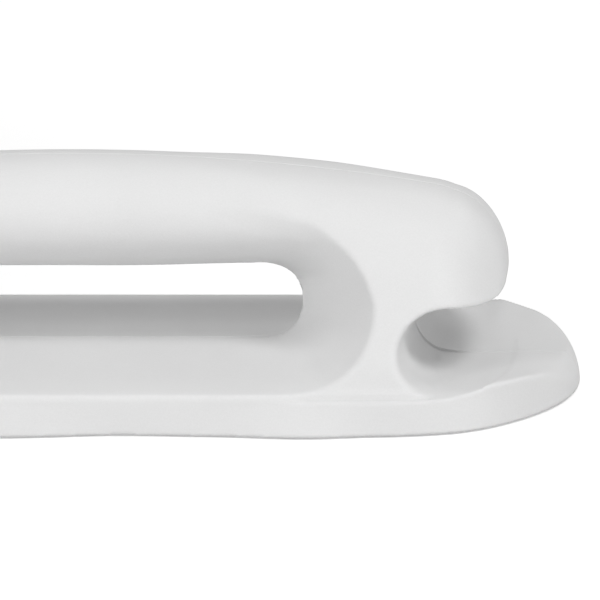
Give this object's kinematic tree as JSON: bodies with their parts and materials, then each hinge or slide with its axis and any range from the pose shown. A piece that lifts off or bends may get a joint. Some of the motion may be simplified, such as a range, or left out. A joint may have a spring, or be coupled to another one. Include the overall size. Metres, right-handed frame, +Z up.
{
  "type": "bedpan",
  "caption": "Oval moulded bedpan with a seat ring, a lift-off lid and a long grip handle that has a finger slot, a hanging notch and a wide foot flange.",
  "frame": {"origin": "on the ground, under the centre of the pan", "axes": "+Z up, +X from the pan along the handle to its tip"},
  "size_m": [0.476, 0.258, 0.1299],
  "materials": {
    "moulded_plastic": "fine matte, off-white",
    "pin_steel": "plain"
  },
  "bodies": {
    "pan": {"pan_bowl": "moulded_plastic", "seat_ring": "moulded_plastic", "handle_near_half": "moulded_plastic", "handle_far_half": "moulded_plastic", "bracket_pins": "pin_steel", "handle_dowels": "pin_steel"},
    "lid": {"lid": "moulded_plastic", "lid_grip": "moulded_plastic"}
  },
  "joints": [
    {"name": "lid_lift", "type": "slide", "parent": "pan", "child": "lid", "axis": [0, 0, 1], "range_m": [0, 0.12]}
  ]
}
